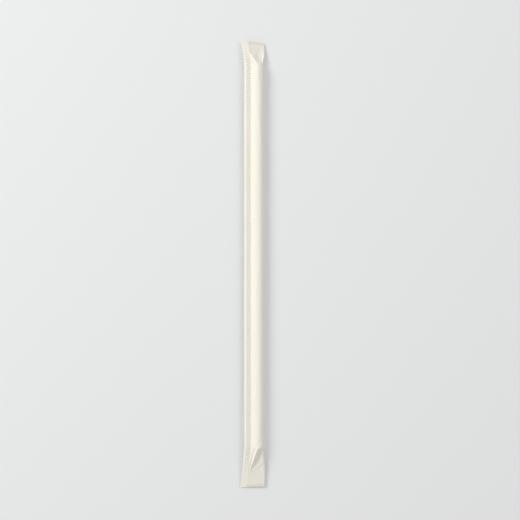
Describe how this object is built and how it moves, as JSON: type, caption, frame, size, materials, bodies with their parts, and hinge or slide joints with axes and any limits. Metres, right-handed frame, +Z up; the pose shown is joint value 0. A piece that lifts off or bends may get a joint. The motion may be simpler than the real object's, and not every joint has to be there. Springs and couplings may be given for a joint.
{
  "type": "wrapped drinking straw",
  "caption": "Drinking straw sealed in a white paper sleeve with a crimped seam along one side and flat, creased ends.",
  "frame": {"origin": "on the surface that the straw lies on, under the middle of its box", "axes": "+Y along the sleeve towards its head end, +Z up, +X across it away from the crimped seam"},
  "size_m": [0.0132, 0.233, 0.0059],
  "materials": {
    "sleeve_paper": "matte white straw wrapping paper, thin and uncoated, soft folds"
  },
  "bodies": {
    "root": {"wrapped_straw": "sleeve_paper"}
  },
  "joints": []
}
